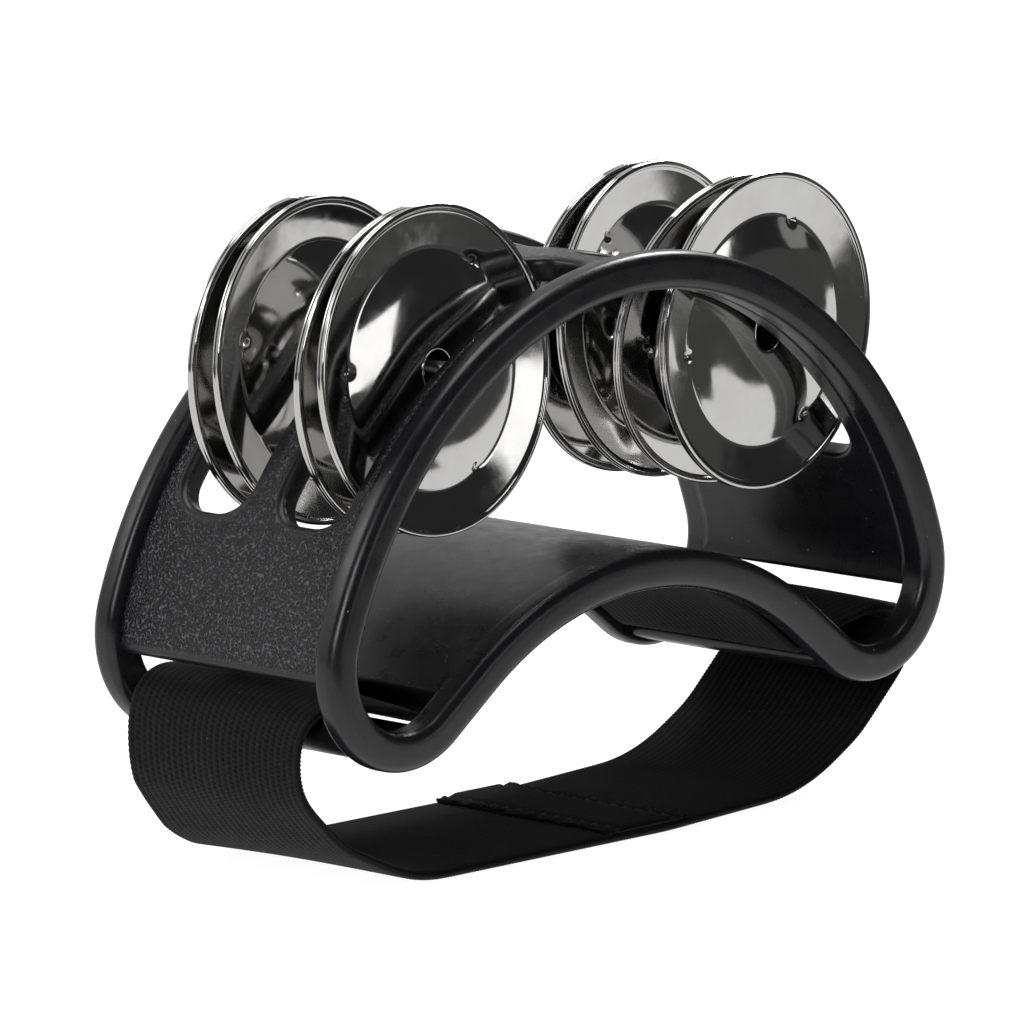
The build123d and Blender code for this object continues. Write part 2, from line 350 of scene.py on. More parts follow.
def add_wall_face(level, offset, depth, slots, borders, verts, faces, grain):
    """Fills the outer or the inner face of the wall between its border and the slots."""
    points, ids, edges = [], [], []
    for loop_ids, loop in borders[level]:
        first = len(points)
        points += [Vector(p) for p in loop]
        ids += loop_ids
        edges += [(first + j, first + (j + 1) % len(loop)) for j in range(len(loop))]
    s_end = WALL_END_S - offset
    s_values = np.linspace(-s_end, s_end, round(2 * s_end / WALL_GRID) + 1)[1:-1]
    y_values = np.linspace(-EMBED_Y, EMBED_Y, round(2 * EMBED_Y / WALL_GRID) + 1)[1:-1]
    for s in s_values:
        for y in y_values:
            clear = slot_clearance(slots, s, y) - offset
            if clear < WALL_GRID_MARGIN:
                continue
            points.append(Vector((s, y)))
            ids.append(len(verts))
            verts.append(wall_point(s, y, depth))
            rough = level == 0 and WALL_END_S - abs(s) > SMOOTH_BAND and clear > SMOOTH_MARGIN
            grain.append(1.0 if rough else 0.0)
    out_points, _, triangles, origins, _, _ = geometry.delaunay_2d_cdt(points, edges, [], 0, 1e-5)
    for triangle in triangles:
        middle = sum((out_points[i] for i in triangle), Vector((0, 0))) / len(triangle)
        if slot_clearance(slots, middle.x, middle.y) > offset:
            faces.append(tuple(ids[origins[i][0]] for i in triangle))


def prism(name, section):
    """A closed solid of one XZ section, right across between the rims."""
    rings = [[(x, y, z) for x, z in section] for y in (-EMBED_Y, 0.0, EMBED_Y)]
    obj = make_mesh(name, *loft(rings, False, caps=True), sharp_deg=60)
    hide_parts(name)
    return obj


SADDLE_END_STEP = 3.6
SADDLE_CORNER, SADDLE_ARC_STEPS, SADDLE_PITCH = 0.9, 5, 0.9


def saddle_wall():
    """The wall over the instep, rounded at both ends."""
    arc = (SADDLE_RADIUS + WALL_OUTER_INSET) * radians(LOBE_END_DEG - 180)
    flank = SADDLE_STRAIGHT - SADDLE_END_STEP
    half = arc + flank
    normal = compass(LOBE_END_DEG)

    def at(t, inset):
        """t runs from the apex to the end, measured on the outer face."""
        if abs(t) <= arc:
            angle = 180 + degrees(abs(t) / (SADDLE_RADIUS + WALL_OUTER_INSET))
            point, out = SADDLE - compass(angle) * SADDLE_RADIUS, compass(angle)
        else:
            point = SADDLE_START + (LOBE_END - SADDLE_START) * (abs(t) - arc) / SADDLE_STRAIGHT
            out = normal
        x, z = point - out * inset
        return (x if t >= 0 else -x, z)

    corners = (SADDLE_CORNER,) * 4
    box = -half, half, WALL_OUTER_INSET, WALL_INNER_INSET
    loop = rounded_rectangle(*box, corners, SADDLE_ARC_STEPS, SADDLE_PITCH)
    return prism("saddle_wall", [at(t, inset) for t, inset in loop])


BAR_OUTER_INSET, BAR_INNER_INSET = 1.2, 5.0
BAR_START_DEG, BAR_END_DEG = 133.0, 208.0
BAR_CORNER, BAR_ARC_STEPS, BAR_PITCH = 1.2, 5, 0.7


def strap_bar(name, side):
    """The curved bar under a lobe that the strap passes over."""
    radius = LOBE_RADIUS - (BAR_OUTER_INSET + BAR_INNER_INSET) / 2
    length = radius * radians(BAR_END_DEG - BAR_START_DEG)
    corners = (BAR_CORNER,) * 4
    loop = rounded_rectangle(0, length, BAR_OUTER_INSET, BAR_INNER_INSET, corners, BAR_ARC_STEPS, BAR_PITCH)

    def at(t, inset):
        """t runs along the bar's middle line, from its outer end."""
        x, z = LOBE + compass(BAR_START_DEG + degrees(t / radius)) * (LOBE_RADIUS - inset)
        return (side * x, z)

    return prism(name, [at(t, inset) for t, inset in loop])


# ---------------------------------------------------------------- jingles and pins

HOLE_RADIUS, HOLE_ROUND = 3.15, 0.15
JINGLE_RADIUS = 25.2
SHEET = 0.4
CREASE_RADIUS, CREASE_DEPTH = 18.3, 1.4
CREASE_REACH = 0.35
FLANGE_STEP = 0.4
BOSS_RADIUS, BOSS_DEPTH = 6.0, 0.1
DOME_POWER = 2.3
HEM_THICK, HEM_WIDE = 1.4, 0.9
HEM_IN = JINGLE_RADIUS - HEM_WIDE
HEM_ROUND, HEM_LIP_ROUND = 0.3, 0.35
# The groove round the hem's edge, as (distance from its middle, depth).
HEM_GROOVE = ((-0.2, 0.02), (-0.1, 0.07), (0.0, 0.13), (0.1, 0.07), (0.2, 0.02))
NIB_DEPTH, NIB_SPREAD, NIB_INSIDE_CREASE = 0.36, 0.5, 0.2
DENT_DEPTH, DENT_SPREAD = 0.1, 1.9
WAVE_SIZE = 0.04
JINGLE_SEGMENTS = 300
JOINT_BEHIND_FACE = 0.9
# The compass angle of each jingle's first nib, as in the CAD model.
FIRST_NIB_DEG = {
    "jingle_left_front_outer": 33,
    "jingle_left_front_inner": 75,
    "jingle_left_rear_inner": 45,
    "jingle_left_rear_outer": 10,
    "jingle_right_front_outer": 22,
    "jingle_right_front_inner": 95,
    "jingle_right_rear_inner": 84,
    "jingle_right_rear_outer": 50,
}


def face_depth(r):
    """How far the jingle's outward face lies behind its hem at a radius."""
    if r >= CREASE_RADIUS:
        along = (r - CREASE_RADIUS) / (HEM_IN - CREASE_RADIUS)
        return CREASE_DEPTH - (CREASE_DEPTH - FLANGE_STEP) * along
    along = max(0.0, (r - BOSS_RADIUS) / (CREASE_RADIUS - BOSS_RADIUS))
    return BOSS_DEPTH + (CREASE_DEPTH - BOSS_DEPTH) * along**DOME_POWER


def smooth_depth(r):
    """The same, with the crease rounded over a short reach."""
    return sum(face_depth(r + CREASE_REACH * k / 4) for k in range(-4, 5)) / 9


def jingle_profile():
    """(radius, depth) round the sheet: hole, outward face, rolled hem, inward face."""
    dome = np.linspace(HOLE_RADIUS + HOLE_ROUND, 16, 26)
    crease = np.linspace(16.3, 20.5, 15)
    flange = np.linspace(20.9, HEM_IN - 0.1, 8)
    outward = [(r, smooth_depth(r)) for r in (*dome, *crease, *flange)]
    lip = [(HOLE_RADIUS, BOSS_DEPTH + HOLE_ROUND), (HOLE_RADIUS, BOSS_DEPTH + SHEET - 0.1)]
    outer, middle = JINGLE_RADIUS - HEM_ROUND, HEM_THICK / 2
    hem = [(HEM_IN, 0.3)]
    for a in np.linspace(0.3, pi / 2, 5):
        hem.append((HEM_IN + HEM_LIP_ROUND - HEM_LIP_ROUND * cos(a), HEM_LIP_ROUND - HEM_LIP_ROUND * sin(a)))
    for a in np.linspace(0.1, pi / 2, 5):
        hem.append((outer + HEM_ROUND * sin(a), HEM_ROUND - HEM_ROUND * cos(a)))
    hem += [(JINGLE_RADIUS - deep, middle + along) for along, deep in HEM_GROOVE]
    for a in np.linspace(0, pi / 2, 5):
        hem.append((outer + HEM_ROUND * cos(a), HEM_THICK - HEM_ROUND + HEM_ROUND * sin(a)))
    hem += [(HEM_IN, HEM_THICK - 0.06), (HEM_IN - 0.05, smooth_depth(HEM_IN - 0.1) + SHEET + 0.15)]
    inward = [(r, depth + SHEET) for r, depth in reversed(outward)]
    return lip[::-1] + outward + hem + inward


def hanging(name, faces_back):
    """The middle of a jingle's outward face and its turn from the upright, both from its spin axis."""
    joint = next(j for j in frame["record"]["behaviour"]["joints"] if j["child"] == name)
    axis = Vector(joint["axis"])
    behind = -JOINT_BEHIND_FACE if faces_back else JOINT_BEHIND_FACE
    middle = Vector(joint["pos_m"]) / MM - axis * behind
    lean = Matrix.Rotation(asin(axis.z), 3, "X")
    turn = Matrix.Rotation(atan2(-axis.x, axis.y), 3, "Z")
    return middle, turn @ lean


def jingle(name, seed):
    """One jingle where the CAD one hangs, with its dents and the slight waviness of thin pressed sheet."""
    faces_back = name.endswith(("front_inner", "rear_outer"))
    middle, rotation = hanging(name, faces_back)
    facing = -1 if faces_back else 1
    rng = np.random.default_rng(seed)
    waves = [(k, rng.uniform(0, 2 * pi), rng.uniform(0.4, 1.0) * WAVE_SIZE / k) for k in (2, 3, 4, 5)]
    nibs = [radians(FIRST_NIB_DEG[name] + 120 * k + rng.uniform(-2, 2)) for k in range(3)]
    profile = jingle_profile()
    rings = []
    for angle in np.linspace(0, 2 * pi, JINGLE_SEGMENTS, endpoint=False):
        ring = []
        for r, depth in profile:
            wave = sum(size * sin(k * angle + phase) for k, phase, size in waves) * (r / JINGLE_RADIUS) ** 2
            for nib in nibs:
                round_gap = CREASE_RADIUS * (((angle - nib + pi) % (2 * pi)) - pi)
                gap = hypot(r - CREASE_RADIUS + NIB_INSIDE_CREASE, round_gap)
                wave += NIB_DEPTH * exp(-((gap / NIB_SPREAD) ** 2) / 2)
                if r < HEM_IN:
                    wave += DENT_DEPTH * exp(-((gap / DENT_SPREAD) ** 2) / 2)
            local = Vector((facing * r * sin(angle), facing * (depth + wave), r * cos(angle)))
            ring.append(tuple(middle + rotation @ local))
        rings.append(ring)
    obj = make_mesh(name, *loft(rings, closed_along=True))
    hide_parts(name)
    return obj


PIN_ROUND, PIN_TIP_RADIUS, PIN_SEGMENTS = 0.25, 0.02, 40


def pin(name):
    """A drawn wire pin with rounded ends."""
    low, high = node_box(name)
    x, z = (low[0] + high[0]) / 2, (low[2] + high[2]) / 2
    profile = [(PIN_TIP_RADIUS, low[1])]
    for a in np.linspace(0, pi / 2, 5):
        profile.append((PIN_RADIUS - PIN_ROUND + PIN_ROUND * sin(a), low[1] + PIN_ROUND - PIN_ROUND * cos(a)))
    profile += [(r, high[1] + low[1] - y) for r, y in reversed(profile)]
    angles = np.linspace(0, 2 * pi, PIN_SEGMENTS, endpoint=False)
    rings = [[(x + r * cos(a), y, z + r * sin(a)) for a in angles] for r, y in profile]
    obj = make_mesh(name, *loft(rings, False, caps=True), sharp_deg=50)
    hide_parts(name)
    return obj


# ---------------------------------------------------------------- strap

STRAP_LOW, STRAP_HIGH = node_box("strap")
STRAP_WIDTH = STRAP_HIGH[1] - STRAP_LOW[1]
STRAP_THICK = 1.6
STRAP_UNDER_SADDLE = 1.0
LAP_FROM_X, LAP_TO_X = -1.5, 15.5
LOWER_RUN_TOP = 8
LAP_LOW, LAP_SUNK, LAP_FRAY = -1.8, 0.3, 0.8
# The lap is pressed in along its stitching and thinned at its cut ends: depth and reach.
STITCH_PRESS, STITCH_PRESS_REACH = 0.5, 0.8
CUT_PRESS, CUT_PRESS_REACH = 0.35, 0.6
# Corners of the strap's centreline beyond the saddle: x, drop below the crown, bend radius.
STRAP_RIGHT = [
    (42.5, 68.45, 2.4),
    (47.9, 66.0, 3.0),
    (61.6, 63.4, 8.0),
    (70.0, 64.2, 4.4),
    (69.6, 72.2, 8.4),
    (57.4, 83.4, 16.0),
    (44.0, 90.8, 36.0),
    (12.0, 92.2, 60.0),
]
STRAP_LEFT = [
    (-42.5, 68.45, 2.4),
    (-47.9, 66.0, 3.0),
    (-61.6, 63.4, 8.0),
    (-70.6, 64.3, 6.4),
    (-70.5, 76.0, 9.5),
    (-60.6, 85.2, 18.0),
    (-45.0, 92.2, 30.0),
]
ROW, PATH_PITCH, PATH_SOFTNESS = 0.325, 0.5, 1.6
RIBS = 28
RIB_DIP, GROOVE_LOW, PIT_LOW = 0.07, 0.24, 0.46
SELVEDGE_INSET, SELVEDGE_THIN = 0.25, 0.18
SELVEDGE_BACK, SELVEDGE_TOOTH = 0.1, 0.2
FRAYED_ROWS = 3
# The hump over each bar: its height, where along X it is highest, its reach, and the drop where it ends.
HUMP, HUMP_X, HUMP_REACH, HUMP_DROP = 1.9, 55.5, 7.5, 70
# The left bulge's twist: where it sets in, where its side is, and the shifts inwards, up and down.
TWIST_FROM_X, TWIST_ONSET = -46, 11
TWIST_SIDE_X, TWIST_SIDE_REACH = -62, 6
TWIST_MIDDLE_DROP, TWIST_REACH = 71, 5
TWIST_IN, TWIST_UP, TWIST_DOWN = 1.3, 1.6, 2.2


def strap_corners():
    """The corners of the whole closed centreline, from the saddle's right shoulder round to its left one."""
    radius = SADDLE_RADIUS + STRAP_UNDER_SADDLE
    half_turn = radians((LOBE_END_DEG - 180) / 2)
    shoulder = radius * sin(half_turn) / cos(half_turn), SADDLE[1] + radius
    corners = [(*shoulder, radius - 0.5)]
    corners += [(x, CROWN_TOP_Z - drop, r) for x, drop, r in STRAP_RIGHT + STRAP_LEFT[::-1]]
    return corners + [(-shoulder[0], shoulder[1], radius - 0.5)]


def rounded_path(corners, pitch):
    """Points about a pitch apart along a closed path whose corners are rounded to their radii."""
    points = []
    count = len(corners)
    for i, (x, z, r) in enumerate(corners):
        here = np.array([x, z])
        before = np.array(corners[i - 1][:2]) - here
        after = np.array(corners[(i + 1) % count][:2]) - here
        before, after = before / np.linalg.norm(before), after / np.linalg.norm(after)
        half = np.arccos(np.clip(before @ after, -1, 1)) / 2
        middle = (before + after) / np.linalg.norm(before + after)
        centre = here + middle * r / sin(half)
        start, end = here + before * r / np.tan(half) - centre, here + after * r / np.tan(half) - centre
        sweep = np.arctan2(start[0] * end[1] - start[1] * end[0], start @ end)
        for a in np.linspace(0, sweep, max(4, round(abs(sweep) * r / pitch))):
            c, s = cos(a), sin(a)
            points.append(centre + np.array([c * start[0] - s * start[1], s * start[0] + c * start[1]]))
    return np.array(points)


def even_path(points, pitch):
    """The closed path resampled to an even number of equal steps."""
    ring = np.vstack([points, points[:1]])
    steps = np.linalg.norm(np.diff(ring, axis=0), axis=1)
    along = np.concatenate([[0], np.cumsum(steps)])
    count = 2 * round(along[-1] / pitch / 2)
    targets = np.linspace(0, along[-1], count, endpoint=False)
    return np.column_stack([np.interp(targets, along, ring[:, k]) for k in range(2)])


def softened(path, spread):
    """The closed path with its curvature eased over a spread in millimetres, as springy webbing lies."""
    reach = round(3 * spread / ROW)
    offsets = np.arange(-reach, reach + 1)
    weights = np.exp(-((offsets * ROW / spread) ** 2) / 2)
    weights /= weights.sum()
    return sum(w * np.roll(path, -k, axis=0) for k, w in zip(offsets, weights))


def strap_path():
    """The webbing's centreline and its outward normals, a row apart."""
    path = softened(even_path(rounded_path(strap_corners(), PATH_PITCH), ROW), PATH_SOFTNESS)
    along = np.roll(path, -1, axis=0) - np.roll(path, 1, axis=0)
    along /= np.linalg.norm(along, axis=1)[:, None]
    outward = np.column_stack([-along[:, 1], along[:, 0]])
    return path, outward


def hump_at(x, z):
    """How far the webbing humps up in the middle of its width where it squeezes through a lobe."""
    if z < CROWN_TOP_Z - HUMP_DROP:
        return 0.0
    return HUMP * np.exp(-(((abs(x) - HUMP_X) / HUMP_REACH) ** 2))


def twist(x, z, y):
    """The left bulge's slight twist, as a shift in x and z that grows towards its rear edge."""
    if x > TWIST_FROM_X:
        return 0.0, 0.0
    onset = min(1.0, (TWIST_FROM_X - x) / TWIST_ONSET)
    amount = onset**2 * (3 - 2 * onset) * (0.5 + y / STRAP_WIDTH)
    side = min(1.0, max(0.0, (TWIST_SIDE_X - x) / TWIST_SIDE_REACH))
    above = min(1.0, max(-1.0, (z - (CROWN_TOP_Z - TWIST_MIDDLE_DROP)) / TWIST_REACH))
    return TWIST_IN * side * amount, (TWIST_UP if above > 0 else TWIST_DOWN) * above * amount


def weave(row, column):
    """How deep the knit lies at a row and a half-rib column: ribs, grooves, and a pit at every other row."""
    odd = (row + column // 2) % 2
    if column % 2:
        return RIB_DIP if odd else 0.0
    return PIT_LOW if odd else GROOVE_LOW


def webbing(name, rows, path, outward, lows, high, closed, ragged=0.0):
    """A strip of the webbing over some of the path's rows, from each row's low to one high off the path."""
    columns = 2 * RIBS + 1
    half = STRAP_WIDTH / 2
    rng = np.random.default_rng(len(rows))
    rings, painted_pit_shade = [], []
    for number, (i, low) in enumerate(zip(rows, lows)):
        (x, z), (nx, nz) = path[i], outward[i]
        ring = []
        fray = ragged if number in (0, len(rows) - 1) else 0.0
        for face, order in ((high, range(columns)), (low, range(columns - 1, -1, -1))):
            inward = -1 if face == high else 1
            for j in order:
                y = -half + SELVEDGE_INSET + (STRAP_WIDTH - 2 * SELVEDGE_INSET) * j / (columns - 1)
                depth = weave(i, j) + (SELVEDGE_THIN if j in (0, columns - 1) else 0.0)
                off = face + inward * depth + hump_at(x, z) * (1 - (y / half) ** 2)
                slip = fray * rng.uniform(-1, 1)
                sx, sz = twist(x, z, y)
                ring.append((x + sx + nx * off + nz * slip, y, z + sz + nz * off - nx * slip))
                # Painted shade share: the material darkens a point the deeper the knit lies there.
                painted_pit_shade.append(min(1.0, depth / PIT_LOW))
            tooth = half - SELVEDGE_BACK + SELVEDGE_TOOTH * (0.5 if i % 2 else -0.5)
            if ragged and min(number, len(rows) - 1 - number) < FRAYED_ROWS:
                tooth += ragged * rng.uniform(0.2, 1.0)
            off = (high + low) / 2
            sx, sz = twist(x, z, -inward * tooth)
            ring.append((x + sx + nx * off, -inward * tooth, z + sz + nz * off))
            # Painted shade share for the selvedge: every other tooth, the one set back, is darkened.
            painted_pit_shade.append(0.0 if i % 2 else 0.6)
        rings.append(ring)
    obj = make_mesh(name, *loft(rings, closed_along=closed, caps=not closed))
    # The deep mark carries the painted shade to the material.
    mark_points(obj, "deep", painted_pit_shade)
    return obj


def lap_lows(count):
    """How far off the path the lap's inner face lies, row by row."""
    lows = []
    for k in range(count):
        to_end = min(k, count - 1 - k) * ROW
        sewn = STITCH_PRESS * exp(-(((to_end - STITCH_FROM_END) / STITCH_PRESS_REACH) ** 2))
        cut = CUT_PRESS * exp(-((to_end / CUT_PRESS_REACH) ** 2))
        lows.append(LAP_LOW + (sewn + cut))
    return lows


def strap():
    """The webbing loop, the end sewn down inside its lower run, and the thread that sews it."""
    path, outward = strap_path()
    if outward[0][1] < 0:
        outward = -outward
    half = STRAP_THICK / 2
    loop = webbing("strap", range(len(path)), path, outward, [-half] * len(path), half, True)
    lower = [i for i, (x, z) in enumerate(path) if z < LOWER_RUN_TOP and LAP_FROM_X <= x <= LAP_TO_X]
    lows = lap_lows(len(lower))
    lap = webbing("strap_lap", lower, path, outward, lows, -half + LAP_SUNK, False, ragged=LAP_FRAY)
    thread = stitches(path, outward, lower)
    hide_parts("strap")
    for piece in (loop, lap, thread):
        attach(piece, "frame")
    return loop, lap, thread


STITCH_LONG, STITCH_WIDE, STITCH_PITCH = 2.2, 0.5, 2.7
STITCH_FROM_END, STITCH_FROM_EDGE = 2.0, 1.5
STITCH_SUNK_OUTSIDE, STITCH_SUNK_INSIDE = 0.2, 0.42
STITCH_FLATNESS, STITCH_BOW, STITCH_SLANT = 0.6, 0.25, 0.2


def stitch_rings(x, y, z, normal, off, inwards):
    """One stitch: a flattened grain of thread along Y whose ends dive into the webbing."""
    rings = []
    for t in np.linspace(-1, 1, 9):
        fat = STITCH_WIDE / 2 * sqrt(max(0.04, 1 - t**4))
        ring = []
        for a in np.linspace(0, 2 * pi, 10, endpoint=False):
            rise = off + inwards * STITCH_BOW * t**2 + fat * STITCH_FLATNESS * sin(a)
            across = fat * cos(a)
            px = x + normal[0] * rise + normal[1] * across + STITCH_SLANT * t
            pz = z + normal[1] * rise - normal[0] * across
            ring.append((px, y + t * STITCH_LONG / 2, pz))
        rings.append(ring)
    return rings


def stitches(path, outward, lap_rows):
    """Two rows of thread across the webbing, near the two ends of the lap, seen on both faces."""
    verts, faces = [], []
    inset_rows = round(STITCH_FROM_END / ROW)
    count = round((STRAP_WIDTH - 2 * STITCH_FROM_EDGE) / STITCH_PITCH)
    sides = (STRAP_THICK / 2 - STITCH_SUNK_OUTSIDE, -1), (LAP_LOW + STITCH_SUNK_INSIDE, 1)
    for i in (lap_rows[inset_rows], lap_rows[-1 - inset_rows]):
        (x, z), normal = path[i], outward[i]
        for off, inwards in sides:
            for k in range(count):
                y = (k - (count - 1) / 2) * STITCH_PITCH
                v, f = loft(stitch_rings(x, y, z, normal, off, inwards), False, caps=True)
                base = len(verts)
                verts += v
                faces += [tuple(base + q for q in face) for face in f]
    return make_mesh("stitching", verts, faces)


# ---------------------------------------------------------------- materials

def new_material(name, base, roughness, metallic=0.0):
    """A material with its node tree, its shader and its object coordinates."""
    mat = bpy.data.materials.new(name)
    mat.use_nodes = True
    tree = mat.node_tree
    shader = tree.nodes["Principled BSDF"]
    shader.inputs["Base Color"].default_value = (*base, 1)
    shader.inputs["Roughness"].default_value = roughness
    shader.inputs["Metallic"].default_value = metallic
    coords = tree.nodes.new("ShaderNodeTexCoord").outputs["Object"]
    return mat, tree, shader, coords


def noise(tree, coords, scale, detail, rough, stretch=None):
    if stretch:
        mapping = tree.nodes.new("ShaderNodeMapping")
        mapping.inputs["Scale"].default_value = stretch
        tree.links.new(coords, mapping.inputs["Vector"])
        coords = mapping.outputs["Vector"]
    tex = tree.nodes.new("ShaderNodeTexNoise")
    tex.inputs["Scale"].default_value = scale
    tex.inputs["Detail"].default_value = detail
    tex.inputs["Roughness"].default_value = rough
    tree.links.new(coords, tex.inputs["Vector"])
    return tex.outputs["Fac"]


def remap(tree, value, from_min, from_max, to_min, to_max):
    node = tree.nodes.new("ShaderNodeMapRange")
    keys = "From Min", "From Max", "To Min", "To Max"
    for key, number in zip(keys, (from_min, from_max, to_min, to_max)):
        node.inputs[key].default_value = number
    tree.links.new(value, node.inputs["Value"])
    return node.outputs["Result"]


def math_node(tree, operation, a, b):
    node = tree.nodes.new("ShaderNodeMath")
    node.operation = operation
    for socket, value in zip(node.inputs, (a, b)):
        if isinstance(value, (int, float)):
            socket.default_value = value
        else:
            tree.links.new(value, socket)
    return node.outputs["Value"]


def mix_colour(tree, factor, a, b):
    node = tree.nodes.new("ShaderNodeMix")
    node.data_type = "RGBA"
    tree.links.new(factor, node.inputs["Factor"])
    for socket, value in ((node.inputs["A"], a), (node.inputs["B"], b)):
        if isinstance(value, tuple):
            socket.default_value = (*value, 1)
        else:
            tree.links.new(value, socket)
    return node.outputs["Result"]


def specks(tree, coords, cell_mm, size, share):
    """A mask of small dust specks: one cell in some has a dot at its middle."""
    tex = tree.nodes.new("ShaderNodeTexVoronoi")
    tex.inputs["Scale"].default_value = 1000 / cell_mm
    tex.inputs["Randomness"].default_value = 1.0
    tree.links.new(coords, tex.inputs["Vector"])
    dot = remap(tree, tex.outputs["Distance"], size * 0.6, size, 1.0, 0.0)
    split = tree.nodes.new("ShaderNodeSeparateColor")
    tree.links.new(tex.outputs["Color"], split.inputs["Color"])
    chosen = math_node(tree, "GREATER_THAN", split.outputs["Red"], 1 - share)
    return math_node(tree, "MULTIPLY", dot, chosen)


def bump(tree, height, strength, distance_mm, normal=None):
    node = tree.nodes.new("ShaderNodeBump")
    node.inputs["Strength"].default_value = strength
    node.inputs["Distance"].default_value = distance_mm * MM
    tree.links.new(height, node.inputs["Height"])
    if normal:
        tree.links.new(normal, node.inputs["Normal"])
    return node.outputs["Normal"]


GRAIN_SCALE = 2600


def plastic(name, grained):
    """Black moulded plastic: satin, faintly mottled, with dust, and spark grain where the mesh says so, whose
    high cells are lightened as painted glints.
    """
    mat, tree, shader, coords = new_material(name, (0.01, 0.01, 0.011), 0.3)
    mottle = noise(tree, coords, 90, 4, 0.6)
    body = mix_colour(tree, mottle, (0.005, 0.005, 0.006), (0.012, 0.012, 0.0145))
    dust = specks(tree, coords, 2.1, 0.055, 0.3)
    gloss = remap(tree, noise(tree, coords, 260, 5, 0.65), 0.3, 0.7, 0.22, 0.36)
    skin = noise(tree, coords, 1400, 3, 0.6)
    normal = bump(tree, skin, 0.12, 0.02)
    if grained:
        mask = tree.nodes.new("ShaderNodeAttribute")
        mask.attribute_name = "grain"
        cells = tree.nodes.new("ShaderNodeTexVoronoi")
        cells.feature = "F1"
        cells.inputs["Scale"].default_value = GRAIN_SCALE
        tree.links.new(coords, cells.inputs["Vector"])
        fine = noise(tree, coords, GRAIN_SCALE, 2, 0.6)
        softer = math_node(tree, "MULTIPLY", fine, 0.45)
        rugged = math_node(tree, "ADD", cells.outputs["Distance"], softer)
        height = math_node(tree, "MULTIPLY", rugged, mask.outputs["Fac"])
        normal = bump(tree, height, 1.0, 0.4, normal)
        # Painted highlight: the grain's highest cells are lightened to stand in for the glints of light on
        # them.
        painted_glint = remap(tree, rugged, 0.8, 1.08, 0.0, 1.0)
        painted_glint = math_node(tree, "MULTIPLY", painted_glint, mask.outputs["Fac"])
        body = mix_colour(tree, painted_glint, body, (0.12, 0.12, 0.13))
        shader.inputs["Specular IOR Level"].default_value = 0.4
        dull = math_node(tree, "MULTIPLY", mask.outputs["Fac"], 0.04)
        gloss = math_node(tree, "ADD", gloss, dull)
    tree.links.new(mix_colour(tree, dust, body, (0.42, 0.42, 0.4)), shader.inputs["Base Color"])
    rough = math_node(tree, "MAXIMUM", gloss, dust)
    tree.links.new(rough, shader.inputs["Roughness"])
    tree.links.new(normal, shader.inputs["Normal"])
    return mat


def polished_steel():
    """Mirror-polished stainless sheet with fine wiping scratches, faint stains and dust."""
    mat, tree, shader, coords = new_material("jingle_steel", (0.62, 0.615, 0.6), 0.08, 1.0)
    stain = noise(tree, coords, 120, 4, 0.6)
    body = mix_colour(tree, stain, (0.56, 0.55, 0.53), (0.68, 0.68, 0.67))
    dust = specks(tree, coords, 1.7, 0.04, 0.22)
    tree.links.new(mix_colour(tree, dust, body, (0.55, 0.55, 0.53)), shader.inputs["Base Color"])
    tree.links.new(math_node(tree, "SUBTRACT", 1.0, dust), shader.inputs["Metallic"])
    haze = remap(tree, noise(tree, coords, 300, 6, 0.7), 0.35, 0.75, 0.05, 0.13)
    tree.links.new(math_node(tree, "MAXIMUM", haze, dust), shader.inputs["Roughness"])
    lines = noise(tree, coords, 900, 2, 0.5, stretch=(1, 1, 9))
    normal = bump(tree, lines, 0.05, 0.01)
    normal = bump(tree, noise(tree, coords, 45, 1, 0.4), 0.25, 0.04, normal)
    tree.links.new(normal, shader.inputs["Normal"])
    return mat


def drawn_steel():
    """Wire with faint drawing lines along it."""
    mat, tree, shader, coords = new_material("pin_steel", (0.5, 0.5, 0.5), 0.3, 1.0)
    tone = noise(tree, coords, 600, 3, 0.6, stretch=(1, 0.05, 1))
    tree.links.new(mix_colour(tree, tone, (0.42, 0.42, 0.41), (0.6, 0.6, 0.59)), shader.inputs["Base Color"])
    tree.links.new(remap(tree, tone, 0.3, 0.7, 0.2, 0.38), shader.inputs["Roughness"])
    tree.links.new(bump(tree, tone, 0.1, 0.01), shader.inputs["Normal"])
    return mat


def cloth(name, dark, light, rough):
    """Black knitted yarn with lint, and painted shade darkening the knit's pits and grooves."""
    mat, tree, shader, coords = new_material(name, dark, rough)
    shader.inputs["Sheen Weight"].default_value = 0.03
    shader.inputs["Sheen Roughness"].default_value = 0.45
    shader.inputs["Specular IOR Level"].default_value = 0.18
    tone = noise(tree, coords, 1500, 3, 0.6)
    broad = noise(tree, coords, 60, 2, 0.5)
    both = math_node(tree, "MULTIPLY", tone, remap(tree, broad, 0.3, 0.7, 0.8, 1.2))
    yarn = mix_colour(tree, both, dark, light)
    # Painted shade: the deep mark darkens the knit's pits and grooves nearly to black.
    deep = tree.nodes.new("ShaderNodeAttribute")
    deep.attribute_name = "deep"
    body = mix_colour(tree, deep.outputs["Fac"], yarn, (0.0003, 0.0003, 0.0003))
    lint = specks(tree, coords, 2.2, 0.035, 0.3)
    tree.links.new(mix_colour(tree, lint, body, (0.3, 0.3, 0.29)), shader.inputs["Base Color"])
    tree.links.new(bump(tree, noise(tree, coords, 3200, 2, 0.6), 0.5, 0.08), shader.inputs["Normal"])
    return mat


def glowing(name, base, roughness, strength):
    """A material without gloss that gives off an even white light."""
    mat, tree, shader, coords = new_material(name, base, roughness)
    shader.inputs["Specular IOR Level"].default_value = 0.0
    shader.inputs["Emission Color"].default_value = (1, 1, 1, 1)
    shader.inputs["Emission Strength"].default_value = strength
    return mat, tree, shader, coords


